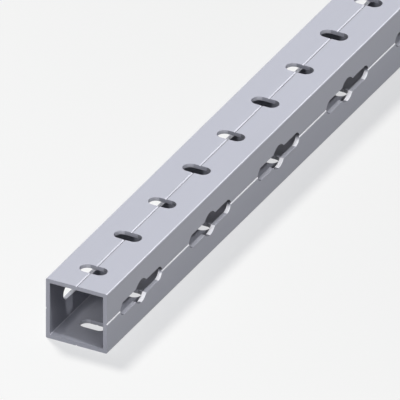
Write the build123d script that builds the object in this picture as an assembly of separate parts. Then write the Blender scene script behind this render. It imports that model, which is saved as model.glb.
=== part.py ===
"""Perforated square aluminium tube: one length of extruded stock, punched through all four walls.

The tube lies along Y on its bottom face. The origin is under its middle, at floor level:
+X to the right, +Y along the tube, +Z up. All lengths are millimetres.
"""

from build123d import *

import os

# Extruded section
SIDE = 23.5
WALL = 1.5
EDGE_RADIUS = 0.4
GROOVE_WIDTH = 0.85
GROOVE_DEPTH = 0.25

# Length that the stock is cut to and sold in
LENGTH = 500.0

# Punched holes, set out on one pitch along every wall
HOLE_PITCH = 25.0
SLOT_WIDTH = 5.2
CROSS_SLOT_LENGTH = 10.2
HEAD_HOLE_DIAMETER = 9.0

# A keyhole joins two neighbouring bolt places, so the punching repeats over two pitches
REPEAT = 2 * HOLE_PITCH
REPEAT_COUNT = int(LENGTH // REPEAT)

# Planes through the tube's centre line, half its height above the floor
AXIS_HEIGHT = SIDE / 2
SECTION_PLANE = Plane(origin=(0, 0, AXIS_HEIGHT), x_dir=(1, 0, 0), z_dir=(0, -1, 0))
SIDE_PLANE = Plane(origin=(0, 0, AXIS_HEIGHT), x_dir=(0, 1, 0), z_dir=(1, 0, 0))


def groove_notch() -> Sketch:
    """The V notch of a centre-line groove, in a side whose outside stands at the origin."""
    mouth_top = (0, GROOVE_WIDTH / 2)
    mouth_bottom = (0, -GROOVE_WIDTH / 2)
    root = (-GROOVE_DEPTH, 0)
    return make_face(Polyline(mouth_bottom, mouth_top, root, close=True))


def tube_section() -> Sketch:
    """The extruded section: an open square with fine outside radii and a notch in each side."""
    outside = RectangleRounded(SIDE, SIDE, EDGE_RADIUS)
    inside = Rectangle(SIDE - 2 * WALL, SIDE - 2 * WALL)
    notches = PolarLocations(SIDE / 2, 4) * groove_notch()
    return outside - inside - notches


def extruded_tube() -> Part:
    """The extrusion before it is punched."""
    return extrude(SECTION_PLANE * tube_section(), LENGTH / 2, both=True)


def cross_slots() -> list[Part]:
    """What the punch takes out for the slots across the top and bottom walls."""
    places = GridLocations(0, HOLE_PITCH, 1, 2 * REPEAT_COUNT)
    slot = SlotOverall(CROSS_SLOT_LENGTH, SLOT_WIDTH)
    return places * extrude(slot, SIDE)


def keyholes() -> list[Part]:
    """What the punch takes out for the keyholes along the left and right walls."""
    places = GridLocations(0, REPEAT, 1, REPEAT_COUNT)
    keyhole = SlotCenterToCenter(HOLE_PITCH, SLOT_WIDTH) + Circle(HEAD_HOLE_DIAMETER / 2)
    return places * extrude(SIDE_PLANE * keyhole, SIDE / 2, both=True)


def square_tube() -> Part:
    """The finished length of stock."""
    return extruded_tube() - cross_slots() - keyholes()


os.makedirs("parts", exist_ok=True)
export_step(square_tube(), "parts/square_tube.step")
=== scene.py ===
"""Looks of the perforated square aluminium tube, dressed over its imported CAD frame.

The tube lies along Y on its bottom face. The origin is under its middle, at floor level:
+X to the right, +Y along the tube, +Z up. All lengths are metres, as in the frame.
"""

import logging
import math
from dataclasses import dataclass, field
from enum import Enum
from typing import Any, Iterable, Mapping, Union

import bmesh
import bpy
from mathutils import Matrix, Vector


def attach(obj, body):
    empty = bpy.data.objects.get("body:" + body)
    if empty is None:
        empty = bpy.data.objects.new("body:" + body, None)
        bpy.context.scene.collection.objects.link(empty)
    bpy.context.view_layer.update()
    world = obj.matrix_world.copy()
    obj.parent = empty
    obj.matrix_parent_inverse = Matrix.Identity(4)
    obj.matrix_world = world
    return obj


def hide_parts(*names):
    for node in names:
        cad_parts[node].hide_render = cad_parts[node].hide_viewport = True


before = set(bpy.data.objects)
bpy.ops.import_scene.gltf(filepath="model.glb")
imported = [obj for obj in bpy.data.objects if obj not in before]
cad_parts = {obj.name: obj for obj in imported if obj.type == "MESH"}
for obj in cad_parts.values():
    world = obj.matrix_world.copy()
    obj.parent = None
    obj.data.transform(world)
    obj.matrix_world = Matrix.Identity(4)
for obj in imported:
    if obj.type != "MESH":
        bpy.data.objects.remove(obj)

MM = 0.001
TUBE_NODE = "square_tube"
BODY = "root"
# Face attribute of painted light: above nought a painted highlight, below nought painted shade,
# giving hole walls, grooves, edges and bore the tones that light would give them
PAINTED_LIGHT = "bare"

# Parts of a unit direction that count as nought and as the whole of it
HARDLY_ANY = 0.001
NEARLY_ALL = 0.99

# Where two repeats of the stock meet: slack as a part of a repeat, and lengths
JOINT_SLACK = 0.0001
MERGE_WITHIN = 0.001 * MM
END_MARGIN = 0.1 * MM

# Socket numbers of a Mix node that mixes colours
MIX_FACTOR = 0
MIX_FIRST = 6
MIX_SECOND = 7
MIX_RESULT = 2

Point = tuple[float, float]
Colour = tuple[float, float, float]
log = logging.getLogger("square_tube")


class Axis(Enum):
    """The way that a punch strikes through the tube."""

    ACROSS = "across"
    UPRIGHT = "upright"


class Wire:
    """An output socket that takes part in Python expressions, each adding its Math node."""

    def __init__(self, graph: "Graph", socket: bpy.types.NodeSocket) -> None:
        """Wraps an output socket.

        Args:
            graph: The node tree that the socket belongs to.
            socket: The output socket.
        """
        self.graph = graph
        self.socket = socket

    def _math(self, operation: str, *values: "Value") -> "Wire":
        """Adds a Math node and gives its result.

        Args:
            operation: The Math node's operation.
            values: Its operands, in order.

        Returns:
            The result, as a wire.
        """
        operands = dict(enumerate(values))
        return self.graph.wire("ShaderNodeMath", {"operation": operation}, operands)

    def __add__(self, other: "Value") -> "Wire":
        """Sum."""
        return self._math("ADD", self, other)

    __radd__ = __add__

    def __sub__(self, other: "Value") -> "Wire":
        """Difference."""
        return self._math("SUBTRACT", self, other)

    def __rsub__(self, other: "Value") -> "Wire":
        """Difference from a plain number."""
        return self._math("SUBTRACT", other, self)

    def __mul__(self, other: "Value") -> "Wire":
        """Product."""
        return self._math("MULTIPLY", self, other)

    __rmul__ = __mul__

    def __truediv__(self, other: "Value") -> "Wire":
        """Quotient."""
        return self._math("DIVIDE", self, other)

    def __rtruediv__(self, other: "Value") -> "Wire":
        """Quotient of a plain number."""
        return self._math("DIVIDE", other, self)

    def __gt__(self, other: "Value") -> "Wire":
        """One where this is the greater, and nought elsewhere."""
        return self._math("GREATER_THAN", self, other)

    def __lt__(self, other: "Value") -> "Wire":
        """One where this is the less, and nought elsewhere."""
        return self._math("LESS_THAN", self, other)

    def __abs__(self) -> "Wire":
        """Size without sign."""
        return self._math("ABSOLUTE", self)

    def most(self, other: "Value") -> "Wire":
        """The greater of the two."""
        return self._math("MAXIMUM", self, other)


Value = Union[float, Wire]
SocketValue = Union[float, Colour, Vector, Wire, bpy.types.NodeSocket, bpy.types.ID, list]


class Graph:
    """A node tree being built, for a shader or for geometry."""

    def __init__(self, tree: bpy.types.NodeTree) -> None:
        """Empties the tree.

        Args:
            tree: The node tree to build in.
        """
        self.tree = tree
        tree.nodes.clear()

    def node(
        self,
        kind: str,
        settings: Mapping[str, Any] | None = None,
        sockets: Mapping[Union[str, int], SocketValue] | None = None,
    ) -> bpy.types.Node:
        """Adds a node.

        Args:
            kind: The node's type.
            settings: Its own settings, which are set before its sockets.
            sockets: Values or links by socket name or number. A list links each of its entries.

        Returns:
            The node.
        """
        made = self.tree.nodes.new(kind)
        for name, setting in (settings or {}).items():
            setattr(made, name, setting)
        for key, value in (sockets or {}).items():
            for one in value if isinstance(value, list) else [value]:
                self._feed(made.inputs[key], one)
        return made

    def _feed(self, socket: bpy.types.NodeSocket, value: SocketValue) -> None:
        """Links a socket, or sets its value.

        Args:
            socket: The input socket.
            value: A wire or an output socket to link, or else a plain value.
        """
        if isinstance(value, Wire):
            self.tree.links.new(value.socket, socket)
        elif isinstance(value, bpy.types.NodeSocket):
            self.tree.links.new(value, socket)
        else:
            socket.default_value = value

    def wire(
        self,
        kind: str,
        settings: Mapping[str, Any] | None = None,
        sockets: Mapping[Union[str, int], SocketValue] | None = None,
        output: Union[str, int] = 0,
    ) -> Wire:
        """Adds a node and gives one of its outputs as a wire.

        Args:
            kind: The node's type.
            settings: Its own settings.
            sockets: Values or links of its sockets.
            output: The output's name or number.

        Returns:
            The output.
        """
        return Wire(self, self.node(kind, settings, sockets).outputs[output])


def arc(centre: Point, radius: float, start: float, steps: int) -> list[Point]:
    """Points on a quarter turn, both ends included.

    Args:
        centre: The arc's centre.
        radius: Its radius.
        start: The angle of its first point, in degrees, from which it turns anticlockwise.
        steps: How many chords it has.

    Returns:
        The points in order.
    """
    turns = [math.radians(start + 90.0 * i / steps) for i in range(steps + 1)]
    return [(centre[0] + radius * math.cos(t), centre[1] + radius * math.sin(t)) for t in turns]


def bearing(azimuth: float, elevation: float) -> Vector:
    """The direction of something far off, both angles in degrees.

    Args:
        azimuth: Nought straight in front of the near end, and 90 to its right.
        elevation: The height above the floor's level.

    Returns:
        A unit vector towards it.
    """
    a, e = math.radians(azimuth), math.radians(elevation)
    return Vector((math.sin(a) * math.cos(e), -math.cos(a) * math.cos(e), math.sin(e)))


def turned(points: Iterable[Point], quarters: int) -> list[Point]:
    """Turns points anticlockwise about the middle.

    Args:
        points: The points.
        quarters: By how many quarter turns.

    Returns:
        The turned points, in the same order.
    """
    result = list(points)
    for _ in range(quarters):
        result = [(-v, u) for u, v in result]
    return result


@dataclass(frozen=True)
class TubeSection:
    """The extruded section: an open square with a notch along the middle of each side."""

    side: float = 23.5 * MM
    wall: float = 1.5 * MM
    edge_radius: float = 0.4 * MM
    bore_radius: float = 0.2 * MM
    groove_width: float = 0.85 * MM
    groove_depth: float = 0.25 * MM
    arc_steps: int = 5
    # Painted light on the section: above nought a painted highlight, below nought painted shade
    side_groove_highlight: float = 1.0
    top_groove_highlight: float = 0.1
    groove_flank_shade: float = -1.0
    edge_highlight: float = 0.2
    bore_wall_shade: float = -0.2
    bore_floor_shade: float = -0.05
    bore_corner_highlight: float = 0.3

    def outline_painted_light(self) -> list[float]:
        """Painted light and shade between each point of the outline and the one before it.

        Each groove has a flank with painted shade and one with a painted highlight. The shaded
        one faces down on the left and right of the tube, and left on its top and bottom. The
        rounded edges carry a faint painted highlight.

        Returns:
            A value for each point: above nought a painted highlight, below nought painted shade.
        """
        side, top, shaded = self.side_groove_highlight, self.top_groove_highlight, self.groove_flank_shade
        result = []
        for flanks in ([side, shaded], [shaded, top], [shaded, side], [top, shaded]):
            result += [0.0, *flanks, 0.0] + [self.edge_highlight] * self.arc_steps
        return result

    def bore_painted_light(self) -> list[float]:
        """Painted light and shade between each point of the bore and the one before it.

        The bore's walls and floor carry painted shade, its rounded corners a painted highlight.

        Returns:
            A value for each point, from the right wall's on. The bore's floor comes last.
        """
        corner = [self.bore_corner_highlight] * self.arc_steps
        result = []
        for flat in [self.bore_wall_shade] * 3 + [self.bore_floor_shade]:
            result += [flat, *corner]
        return result

    def outline(self) -> list[Point]:
        """The outside with its notches.

        Returns:
            The points, anticlockwise about the middle.
        """
        half = self.side / 2
        inner = half - self.edge_radius
        notch = self.groove_width / 2
        quarter = [(half, -notch), (half - self.groove_depth, 0.0), (half, notch)]
        quarter += arc((inner, inner), self.edge_radius, 0.0, self.arc_steps)
        return [point for i in range(4) for point in turned(quarter, i)]

    def bore(self) -> list[Point]:
        """The inside.

        Returns:
            The points, anticlockwise about the middle.
        """
        inner = self.side / 2 - self.wall - self.bore_radius
        quarter = arc((inner, inner), self.bore_radius, 0.0, self.arc_steps)
        return [point for i in range(4) for point in turned(quarter, i)]


@dataclass(frozen=True)
class PaintedHoleLight:
    """Painted light on the walls of a hole: above nought a painted highlight, below nought
    painted shade.

    The hole is seen in its outline, with its length to the right. Its right end has one value
    up to low_edge and another from top_edge, which are upward parts of the outline's outward
    direction, and blends the two in between.
    """

    right_low: float
    right_top: float
    left: float
    straight: float
    low_edge: float = -0.5
    top_edge: float = 0.3

    def at(self, along: float, up: float) -> float:
        """The painted light of a wall.

        Args:
            along: The part to the right of the outline's outward direction there.
            up: Its upward part.

        Returns:
            The value.
        """
        if abs(along) < HARDLY_ANY:
            return self.straight
        if along < 0.0:
            return self.left
        rise = (up - self.low_edge) / (self.top_edge - self.low_edge)
        return self.right_low + (self.right_top - self.right_low) * min(1.0, max(0.0, rise))


@dataclass(frozen=True)
class Punch:
    """A punch, by the hole that it leaves. The strike rolls the rim of the hole over a little."""

    width: float
    straight: float
    painted_light_and_shade: PaintedHoleLight
    rollover: float = 0.04 * MM
    steps: int = 16

    def ring(self, grow: float) -> list[Point]:
        """The hole's outline, anticlockwise.

        Args:
            grow: How far the outline stands outside the hole's own.

        Returns:
            The points in order, with u along the hole.
        """
        right = arc((self.straight / 2, 0.0), self.width / 2 + grow, -90.0, self.steps)
        right += arc((self.straight / 2, 0.0), self.width / 2 + grow, 0.0, self.steps)[1:]
        left = [(-u, -v) for u, v in right]
        if not self.straight:
            left = left[1:-1]
        return right + left

    def stations(self, half_height: float) -> list[Point]:
        """How far along the strike each ring stands and how much it grows, from end to end.

        Args:
            half_height: Half the distance between the two outsides that are struck.

        Returns:
            Distance and growth of each ring.
        """
        start = half_height - self.rollover
        knee = self.rollover * math.sqrt(0.5)
        knee_growth = self.rollover - knee
        rim_slope = (self.rollover - knee_growth) / (self.rollover - knee)
        over = self.rollover / 2
        top = [(start, 0.0), (start + knee, knee_growth)]
        top += [(half_height + over, self.rollover + over * rim_slope)]
        return [(-strike, growth) for strike, growth in reversed(top)] + top

    def solid(self, name: str, axis: Axis, half_height: float) -> bpy.types.Object:
        """The body of metal and air that the punch sweeps, centred on the origin.

        Its walls carry the painted light and shade of the hole's walls.

        Args:
            name: The object's name.
            axis: The way that it strikes.
            half_height: Half the distance between the two outsides that are struck.

        Returns:
            The new object, with no collection.
        """
        mesh = bmesh.new()
        bare = mesh.faces.layers.float.new(PAINTED_LIGHT)
        hole = [Vector(point) for point in self.ring(0.0)]
        edges = [(hole[i] - hole[i - 1]).normalized() for i in range(len(hole))]
        facing = [(edge.y, -edge.x) for edge in edges]
        rings = []
        for strike, growth in self.stations(half_height):
            ring = []
            for u, v in self.ring(growth):
                place = (strike, u, v) if axis is Axis.ACROSS else (v, u, strike)
                ring.append(mesh.verts.new(place))
            rings.append(ring)
        for low, high in zip(rings, rings[1:]):
            for i, (along, up) in enumerate(facing):
                wall = mesh.faces.new((low[i - 1], low[i], high[i], high[i - 1]))
                wall[bare] = self.painted_light_and_shade.at(along, up)
        mesh.faces.new(rings[0])
        mesh.faces.new(rings[-1])
        return object_of(mesh, name)


def object_of(mesh: bmesh.types.BMesh, name: str) -> bpy.types.Object:
    """Turns a finished mesh under edit into an object, its faces pointing outwards.

    Args:
        mesh: The mesh, which is freed.
        name: The name of the object and of its mesh.

    Returns:
        The new object, with no collection.
    """
    bmesh.ops.recalc_face_normals(mesh, faces=mesh.faces)
    data = bpy.data.meshes.new(name)
    mesh.to_mesh(data)
    mesh.free()
    return bpy.data.objects.new(name, data)


@dataclass(frozen=True)
class AnodisedAluminium:
    """Satin clear-anodised extrusion: fine lines along the die, faintly clouded, ends sawn.

    Where the mesh's faces say so, a highlight is painted with a paler, rougher and less metallic
    finish. Below nought, shade is painted by darkening the colour.
    """

    colour: Colour = (0.361, 0.37, 0.43)
    metallic: float = 0.18
    roughness: float = 0.35
    # Colour, metallic and roughness where a highlight is painted
    highlight_colour: Colour = (0.945, 0.945, 0.995)
    highlight_metallic: float = 0.08
    highlight_roughness: float = 0.5
    line_pitch: float = 0.35 * MM
    line_length: float = 60.0 * MM
    line_detail: float = 3.0
    line_depth: float = 0.002 * MM
    line_shade: float = 0.05
    line_roughness: float = 0.08
    cloud_size: float = 18.0 * MM
    cloud_length: float = 72.0 * MM
    cloud_detail: float = 2.0
    cloud_shade: float = 0.03
    cloud_roughness: float = 0.04
    saw_pitch: float = 0.45 * MM
    saw_length: float = 18.0 * MM
    saw_detail: float = 2.0
    saw_depth: float = 0.006 * MM
    saw_shade: float = 0.05
    saw_roughness: float = 0.03
    saw_reach: float = 0.02 * MM
    grain_roughness: float = 0.6

    def material(self, half_length: float) -> bpy.types.Material:
        """Builds the material.

        Args:
            half_length: Where the sawn ends stand along the tube.

        Returns:
            The material.
        """
        material = bpy.data.materials.new("anodised_aluminium_satin")
        material.use_nodes = True
        graph = Graph(material.node_tree)
        place = graph.wire("ShaderNodeTexCoord", output="Object")
        line_grain = (self.line_pitch, self.line_length, self.line_pitch)
        cloud_grain = (self.cloud_size, self.cloud_length, self.cloud_size)
        saw_grain = (self.saw_length, 1.0, self.saw_pitch)
        lines = self._noise(graph, place, line_grain, self.line_detail)
        cloud = self._noise(graph, place, cloud_grain, self.cloud_detail) - 0.5
        saw = self._noise(graph, place, saw_grain, self.saw_detail)
        along = graph.wire("ShaderNodeSeparateXYZ", sockets={0: place}, output="Y")
        sawn = abs(along) > half_length - self.saw_reach
        lined = 1.0 - sawn
        line = (lines - 0.5) * lined
        shade = 1.0 + self.line_shade * line + self.cloud_shade * cloud
        shade += self.saw_shade * (saw - 0.5) * sawn
        # Painted light from the faces: the part above nought paints a highlight, the part below
        # nought paints shade by darkening
        painted_light_and_shade = graph.wire("ShaderNodeAttribute", {"attribute_name": PAINTED_LIGHT}, output="Fac")
        bare = painted_light_and_shade.most(0.0)
        shade = shade * (1.0 + painted_light_and_shade - bare)
        finishes = {
            MIX_FACTOR: bare,
            MIX_FIRST: (*self.colour, 1.0),
            MIX_SECOND: (*self.highlight_colour, 1.0),
        }
        metal = graph.wire("ShaderNodeMix", {"data_type": "RGBA"}, finishes, MIX_RESULT)
        colour = graph.wire(
            "ShaderNodeVectorMath", {"operation": "SCALE"}, {0: metal, "Scale": shade}
        )
        rough = self.roughness + self.line_roughness * line + self.cloud_roughness * cloud
        rough += self.saw_roughness * sawn + (self.highlight_roughness - self.roughness) * bare
        height = lines * lined * self.line_depth + saw * sawn * self.saw_depth
        bump = graph.wire("ShaderNodeBump", sockets={"Distance": 1.0, "Height": height})
        shader = graph.wire(
            "ShaderNodeBsdfPrincipled",
            sockets={
                "Base Color": colour,
                "Metallic": self.metallic + (self.highlight_metallic - self.metallic) * bare,
                "Roughness": rough,
                "Normal": bump,
            },
        )
        graph.node("ShaderNodeOutputMaterial", sockets={"Surface": shader})
        return material

    def _noise(
        self, graph: Graph, place: Wire, grain: tuple[float, float, float], detail: float
    ) -> Wire:
        """A noise whose grain has that size along each axis.

        Args:
            graph: The shader.
            place: Where it is read.
            grain: The grain's size along X, Y and Z.
            detail: The noise's detail.

        Returns:
            Its value, from nought to one.
        """
        scale = tuple(1.0 / size for size in grain)
        scaled = graph.wire("ShaderNodeMapping", sockets={"Vector": place, "Scale": scale})
        return graph.wire("ShaderNodeTexNoise", sockets={
            "Vector": scaled,
            "Scale": 1.0,
            "Detail": detail,
            "Roughness": self.grain_roughness,
        })


@dataclass
class PerforatedTube:
    """One length of the stock, punched through all four walls on one pitch.

    A keyhole's right end in outline is its far one: its lower part has a painted highlight and
    its upper part painted shade.
    A cross slot's right end in outline is the one towards the tube's left.
    """

    section: TubeSection = field(default_factory=TubeSection)
    length: float = 500.0 * MM
    hole_pitch: float = 25.0 * MM
    # Painted light on the hole walls: keyholes' far ends get a painted highlight low and painted
    # shade at the top; near ends and cross slot walls get mostly painted shade
    cross_slot: Punch = Punch(
        width=5.2 * MM,
        straight=5.0 * MM,
        painted_light_and_shade=PaintedHoleLight(right_low=-0.4, right_top=0.16, left=-0.5, straight=-0.12),
    )
    key_slot: Punch = Punch(
        width=5.2 * MM,
        straight=25.0 * MM,
        painted_light_and_shade=PaintedHoleLight(right_low=0.9, right_top=-0.9, left=-0.5, straight=0.15),
    )
    head_hole: Punch = Punch(
        width=9.0 * MM,
        straight=0.0,
        painted_light_and_shade=PaintedHoleLight(right_low=1.0, right_top=-0.9, left=-0.5, straight=0.15),
    )
    sharp_angle: float = math.radians(27.0)
    normal_weight: int = 100

    def near_corner(self) -> Vector:
        """The place where the near end, the right side and the top meet."""
        return Vector((self.section.side / 2, -self.length / 2, self.section.side))

    def blank(self) -> bpy.types.Object:
        """One repeat of the extrusion before it is punched, centred on the origin.

        Returns:
            The new object, with no collection.
        """
        mesh = bmesh.new()
        caps: dict[float, list[bmesh.types.BMEdge]] = {-self.hole_pitch: [], self.hole_pitch: []}
        bare = mesh.faces.layers.float.new(PAINTED_LIGHT)
        for loop, painted in (
            (self.section.outline(), self.section.outline_painted_light()),
            (self.section.bore(), self.section.bore_painted_light()),
        ):
            rings = {y: [mesh.verts.new((x, y, z)) for x, z in loop] for y in caps}
            near, far = rings.values()
            for i in range(len(loop)):
                side = mesh.faces.new((near[i - 1], near[i], far[i], far[i - 1]))
                side[bare] = painted[i]
            for y, ring in rings.items():
                caps[y] += [mesh.edges.get((ring[i - 1], ring[i])) for i in range(len(ring))]
        for edges in caps.values():
            bmesh.ops.triangle_fill(mesh, edges=edges, use_beauty=True)
        return object_of(mesh, "tube_blank")

    def perforating_tree(self) -> bpy.types.NodeTree:
        """The tree that punches one repeat and sets the repeats end to end.

        Returns:
            The tree, with named inputs for its punches and sizes.
        """
        tree = bpy.data.node_groups.new("perforate_tube", "GeometryNodeTree")
        sockets = [
            ("Geometry", "NodeSocketGeometry"),
            ("Cross Slot", "NodeSocketObject"),
            ("Key Slot", "NodeSocketObject"),
            ("Head Hole", "NodeSocketObject"),
            ("Hole Pitch", "NodeSocketFloat"),
            ("Length", "NodeSocketFloat"),
            ("Middle Height", "NodeSocketFloat"),
            ("Material", "NodeSocketMaterial"),
        ]
        for name, kind in sockets:
            tree.interface.new_socket(name, in_out="INPUT", socket_type=kind)
        tree.interface.new_socket("Geometry", in_out="OUTPUT", socket_type="NodeSocketGeometry")
        graph = Graph(tree)
        inputs = graph.node("NodeGroupInput").outputs
        pitch = Wire(graph, inputs["Hole Pitch"])
        length = Wire(graph, inputs["Length"])
        cross_slot = self._held(graph, inputs["Cross Slot"])
        key_slot = self._held(graph, inputs["Key Slot"])
        head_hole = self._held(graph, inputs["Head Hole"])
        repeat = pitch * 2.0
        cross_slots = self._along(graph, cross_slot, 2, pitch, pitch * -0.5)
        punched = graph.wire(
            "GeometryNodeMeshBoolean",
            {"operation": "DIFFERENCE", "solver": "EXACT"},
            {"Mesh 1": inputs["Geometry"], "Mesh 2": [cross_slots, key_slot, head_hole]},
            "Mesh",
        )
        first = (repeat - length) * 0.5
        stock = self._along(graph, punched, length / repeat, repeat, first)
        joined = graph.wire("GeometryNodeDeleteGeometry", {"domain": "FACE"}, {
            "Geometry": stock,
            "Selection": self._inner_joints(graph, repeat, length),
        })
        merged = graph.wire("GeometryNodeMergeByDistance", sockets={
            "Geometry": joined,
            "Distance": MERGE_WITHIN,
        })
        lift = graph.wire("ShaderNodeCombineXYZ", sockets={"Z": inputs["Middle Height"]})
        lifted = graph.wire("GeometryNodeTransform", sockets={
            "Geometry": merged,
            "Translation": lift,
        })
        real = graph.wire("GeometryNodeRealizeInstances", sockets={0: lifted})
        dressed = graph.wire("GeometryNodeSetMaterial", sockets={
            "Geometry": real,
            "Material": inputs["Material"],
        })
        graph.node("NodeGroupOutput", sockets={0: dressed})
        return tree

    @staticmethod
    def _held(graph: Graph, source: bpy.types.NodeSocket) -> Wire:
        """The geometry of a punch."""
        return graph.wire("GeometryNodeObjectInfo", {}, {"Object": source}, "Geometry")

    @staticmethod
    def _along(graph: Graph, what: Wire, count: Value, step: Wire, first: Wire) -> Wire:
        """Copies of a shape in a row along the tube, made real.

        Args:
            graph: The tree.
            what: The shape.
            count: How many copies.
            step: The distance from one to the next.
            first: Where the first one stands along the tube.

        Returns:
            The copies.
        """
        row = graph.wire("GeometryNodeMeshLine", sockets={
            "Count": count,
            "Start Location": graph.wire("ShaderNodeCombineXYZ", sockets={"Y": first}),
            "Offset": graph.wire("ShaderNodeCombineXYZ", sockets={"Y": step}),
        })
        copies = graph.wire("GeometryNodeInstanceOnPoints", sockets={
            "Points": row,
            "Instance": what,
        })
        return graph.wire("GeometryNodeRealizeInstances", sockets={0: copies})

    @staticmethod
    def _inner_joints(graph: Graph, repeat: Wire, length: Wire) -> Wire:
        """Marks the end faces where two repeats meet.

        Args:
            graph: The tree.
            repeat: The length of one repeat.
            length: The length of the stock.

        Returns:
            One on those faces, and nought elsewhere.
        """
        place = graph.wire("GeometryNodeInputPosition")
        normal = graph.wire("GeometryNodeInputNormal")
        along = graph.wire("ShaderNodeSeparateXYZ", sockets={0: place}, output="Y")
        facing = graph.wire("ShaderNodeSeparateXYZ", sockets={0: normal}, output="Y")
        from_end = (along + length * 0.5) / repeat
        nearest = graph.wire("ShaderNodeMath", {"operation": "ROUND"}, {0: from_end})
        at_joint = abs(from_end - nearest) < JOINT_SLACK
        inside = abs(along) < length * 0.5 - END_MARGIN
        return at_joint * inside * (abs(facing) > NEARLY_ALL)

    def build(self, material: bpy.types.Material) -> bpy.types.Object:
        """Punches the stock and turns it into a plain mesh.

        Args:
            material: The finish.

        Returns:
            The tube, at the origin, with its place in its mesh.
        """
        half = self.section.side / 2
        cross_slot = self.cross_slot.solid("cross_slot", Axis.UPRIGHT, half)
        self._turn_across(cross_slot)
        punches = {
            "Cross Slot": cross_slot,
            "Key Slot": self.key_slot.solid("key_slot", Axis.ACROSS, half),
            "Head Hole": self.head_hole.solid("head_hole", Axis.ACROSS, half),
        }
        tube = self.blank()
        for held in (tube, *punches.values()):
            bpy.context.scene.collection.objects.link(held)
        values = {
            **punches,
            "Hole Pitch": self.hole_pitch,
            "Length": self.length,
            "Middle Height": half,
            "Material": material,
        }
        tree = self.perforating_tree()
        modifier = tube.modifiers.new("perforate", "NODES")
        modifier.node_group = tree
        for item in tree.interface.items_tree:
            if item.in_out == "INPUT" and item.name in values:
                modifier[item.identifier] = values[item.name]
        mesh = plain_mesh(tube)
        only_material(mesh, material)
        tube.modifiers.clear()
        tube.data = mesh
        tube.name = mesh.name = "perforated_square_tube"
        for held in punches.values():
            bpy.data.objects.remove(held)
        self._smooth(tube)
        return tube

    @staticmethod
    def _turn_across(punch: bpy.types.Object) -> None:
        """Turns an upright punch so that its length lies across the tube.

        Args:
            punch: The punch, whose mesh is changed.
        """
        for vertex in punch.data.vertices:
            x, y, z = vertex.co
            vertex.co = (-y, x, z)

    def _smooth(self, tube: bpy.types.Object) -> None:
        """Shades the arcs round and keeps the flats flat.

        Args:
            tube: The tube, whose mesh is changed.
        """
        tube.data.shade_smooth()
        tube.data.set_sharp_from_angle(angle=self.sharp_angle)
        weighted = tube.modifiers.new("weighted", "WEIGHTED_NORMAL")
        weighted.keep_sharp = True
        weighted.weight = self.normal_weight
        mesh = plain_mesh(tube)
        tube.modifiers.clear()
        tube.data = mesh
        mesh.name = tube.name


def plain_mesh(thing: bpy.types.Object) -> bpy.types.Mesh:
    """The object's mesh with its modifiers carried out.

    Args:
        thing: The object.

    Returns:
        A new mesh.
    """
    graph = bpy.context.evaluated_depsgraph_get()
    return bpy.data.meshes.new_from_object(
        thing.evaluated_get(graph), preserve_all_data_layers=True, depsgraph=graph
    )


def only_material(mesh: bpy.types.Mesh, material: bpy.types.Material) -> None:
    """Leaves the mesh with one material slot, for every face.

    Args:
        mesh: The mesh.
        material: Its finish.
    """
    mesh.materials.clear()
    mesh.materials.append(material)
    mesh.polygons.foreach_set("material_index", [0] * len(mesh.polygons))


@dataclass(frozen=True)
class SoftSun:
    """A distant lamp that lights one thing. Its azimuth, elevation and spread are in degrees."""

    name: str
    azimuth: float
    elevation: float
    strength: float
    spread: float

    def build(self, lit: bpy.types.Object) -> bpy.types.Object:
        """Adds the lamp to the scene.

        Args:
            lit: The one thing that it lights. Everything shades it.

        Returns:
            The lamp.
        """
        data = bpy.data.lights.new(self.name, "SUN")
        data.energy = self.strength
        data.angle = math.radians(self.spread)
        lamp = bpy.data.objects.new(self.name, data)
        lamp.rotation_mode = "QUATERNION"
        lamp.rotation_quaternion = bearing(self.azimuth, self.elevation).to_track_quat("Z", "Y")
        bpy.context.scene.collection.objects.link(lamp)
        only = bpy.data.collections.new("lit_by_" + self.name)
        only.objects.link(lit)
        lamp.light_linking.receiver_collection = only
        return lamp


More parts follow.
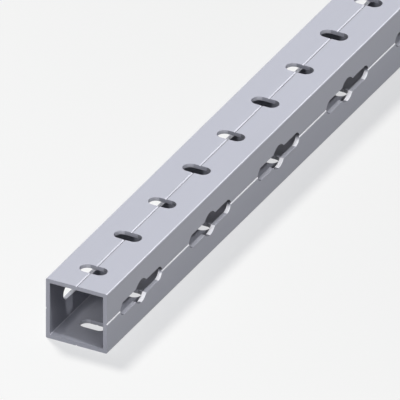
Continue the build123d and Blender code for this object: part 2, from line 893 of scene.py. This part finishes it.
@dataclass(frozen=True)
class Studio:
    """A plain pale floor, soft light and a camera with parallel rays."""

    floor_half: float = 4000.0 * MM
    floor_drop: float = 0.02 * MM
    floor_paint: float = 0.2
    floor_lit: Colour = (0.33, 0.325, 0.305)
    floor_glow: Colour = (0.668, 0.674, 0.686)
    glow_fall: float = 0.046
    glow_fall_way: Vector = field(default_factory=lambda: Vector((0.571, 0.821, 0.0)))
    glow_middle: float = -124.0 * MM
    glow_reach: float = 112.0 * MM
    backdrop: Colour = (0.896, 0.896, 0.896)
    sky: float = 0.04
    # Each lamp's name, azimuth, elevation, strength and spread
    floor_sun: SoftSun = SoftSun("floor_sun", 235.2, 60.5, 2.4, 11.0)
    tube_suns: tuple[SoftSun, ...] = (
        SoftSun("top_sun", 180.0, 45.0, 1.66, 40.0),
        SoftSun("keyhole_sun", 35.0, 64.0, 0.9, 35.0),
        SoftSun("front_sun", -4.0, 18.0, 1.65, 50.0),
        SoftSun("right_sun", 82.0, 54.0, 1.5, 3.0),
        SoftSun("left_sun", 265.0, 3.0, 0.7, 4.0),
    )
    azimuth: float = 27.86
    elevation: float = 31.06
    view_width: float = 136.06 * MM
    right_of_corner: float = 31.65 * MM
    above_corner: float = 32.25 * MM
    distance: float = 700.0 * MM
    clip_start: float = 10.0 * MM
    clip_end: float = 20000.0 * MM

    def floor(self) -> bpy.types.Object:
        """A level floor that keeps the tube's shadow pale.

        Returns:
            The floor.
        """
        half = self.floor_half
        mesh = bpy.data.meshes.new("floor")
        corners = [(-half, -half), (half, -half), (half, half), (-half, half)]
        mesh.from_pydata([(x, y, -self.floor_drop) for x, y in corners], [], [(0, 1, 2, 3)])
        floor = bpy.data.objects.new("floor", mesh)
        mesh.materials.append(self._floor_material())
        bpy.context.scene.collection.objects.link(floor)
        return floor

    @staticmethod
    def _seen(graph: Graph) -> Wire:
        """Marks the rays that show the background, whether straight or in a reflection.

        Args:
            graph: The shader.

        Returns:
            One for those rays, and nought for the rest.
        """
        path = graph.node("ShaderNodeLightPath").outputs
        straight = Wire(graph, path["Is Camera Ray"])
        mirrored = Wire(graph, path["Is Glossy Ray"])
        through = Wire(graph, path["Is Transmission Ray"])
        return straight.most(mirrored).most(through)

    def _floor_material(self) -> bpy.types.Material:
        """The floor's paint: pale to the eye, with room left for a soft shadow.

        Returns:
            The material.
        """
        material = bpy.data.materials.new("pale_floor")
        material.use_nodes = True
        graph = Graph(material.node_tree)
        grey = (self.floor_paint,) * 3
        paint = graph.wire("ShaderNodeBsdfDiffuse", sockets={"Color": (*grey, 1.0)})
        lit = graph.wire("ShaderNodeBsdfDiffuse", sockets={"Color": (*self.floor_lit, 1.0)})
        glow = graph.wire("ShaderNodeEmission", sockets={"Color": self._glow_colour(graph)})
        shown = graph.wire("ShaderNodeAddShader", sockets={0: lit, 1: glow})
        seen = self._seen(graph)
        mixed = graph.wire("ShaderNodeMixShader", sockets={0: seen, 1: paint, 2: shown})
        graph.node("ShaderNodeOutputMaterial", sockets={"Surface": mixed})
        return material

    def _glow_colour(self, graph: Graph) -> Wire:
        """The floor's own light, which is palest to the near left of the tube.

        Args:
            graph: The floor's shader.

        Returns:
            Its colour.
        """
        place = graph.wire("ShaderNodeTexCoord", output="Object")
        along = graph.wire(
            "ShaderNodeVectorMath",
            {"operation": "DOT_PRODUCT"},
            {0: place, 1: self.glow_fall_way},
            "Value",
        )
        level = graph.wire("ShaderNodeMapRange", sockets={
            "Value": along,
            "From Min": self.glow_middle - self.glow_reach,
            "From Max": self.glow_middle + self.glow_reach,
            "To Min": 1.0 + self.glow_fall,
            "To Max": 1.0 - self.glow_fall,
        })
        return graph.wire(
            "ShaderNodeVectorMath", {"operation": "SCALE"}, {0: self.floor_glow, "Scale": level}
        )

    def world(self) -> bpy.types.World:
        """An even sky, with about the floor's colour behind the tube.

        Returns:
            The world.
        """
        world = bpy.data.worlds.new("studio")
        world.use_nodes = True
        graph = Graph(world.node_tree)
        sky = graph.wire("ShaderNodeBackground", sockets={"Strength": self.sky})
        behind = graph.wire("ShaderNodeBackground", sockets={"Color": (*self.backdrop, 1.0)})
        seen = self._seen(graph)
        mixed = graph.wire("ShaderNodeMixShader", sockets={0: seen, 1: sky, 2: behind})
        graph.node("ShaderNodeOutputWorld", sockets={"Surface": mixed})
        bpy.context.scene.world = world
        return world

    def lamps(self, tube: bpy.types.Object, floor: bpy.types.Object) -> list[bpy.types.Object]:
        """The lamps. The floor has its own, so that the tube's shadow keeps to one side.

        Args:
            tube: The tube.
            floor: The floor.

        Returns:
            The lamps.
        """
        return [self.floor_sun.build(floor)] + [sun.build(tube) for sun in self.tube_suns]

    def camera(self, corner: Vector) -> bpy.types.Object:
        """The camera, placed from where the tube's near corner stands in the picture.

        Args:
            corner: The tube's near corner, on its right and at its top.

        Returns:
            The camera, which is the scene's own.
        """
        back = bearing(self.azimuth, self.elevation)
        right = Vector((0.0, 0.0, 1.0)).cross(back).normalized()
        up = back.cross(right)
        data = bpy.data.cameras.new("camera")
        data.type = "ORTHO"
        data.ortho_scale = self.view_width
        data.clip_start = self.clip_start
        data.clip_end = self.clip_end
        camera = bpy.data.objects.new("camera", data)
        centre = corner + right * self.right_of_corner + up * self.above_corner
        camera.location = centre + back * self.distance
        camera.rotation_mode = "QUATERNION"
        camera.rotation_quaternion = (-back).to_track_quat("-Z", "Y")
        bpy.context.scene.collection.objects.link(camera)
        bpy.context.scene.camera = camera
        return camera


def main() -> None:
    """Builds the tube and its studio."""
    logging.basicConfig(level=logging.INFO, format="%(name)s: %(message)s")
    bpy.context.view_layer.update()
    bpy.context.scene.view_settings.view_transform = "Standard"
    stock = PerforatedTube()
    tube = stock.build(AnodisedAluminium().material(stock.length / 2))
    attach(tube, BODY)
    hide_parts(TUBE_NODE)
    log.info("%s: %d faces", tube.name, len(tube.data.polygons))
    studio = Studio()
    floor = studio.floor()
    studio.world()
    studio.lamps(tube, floor)
    studio.camera(stock.near_corner())


if __name__ == "__main__":
    main()
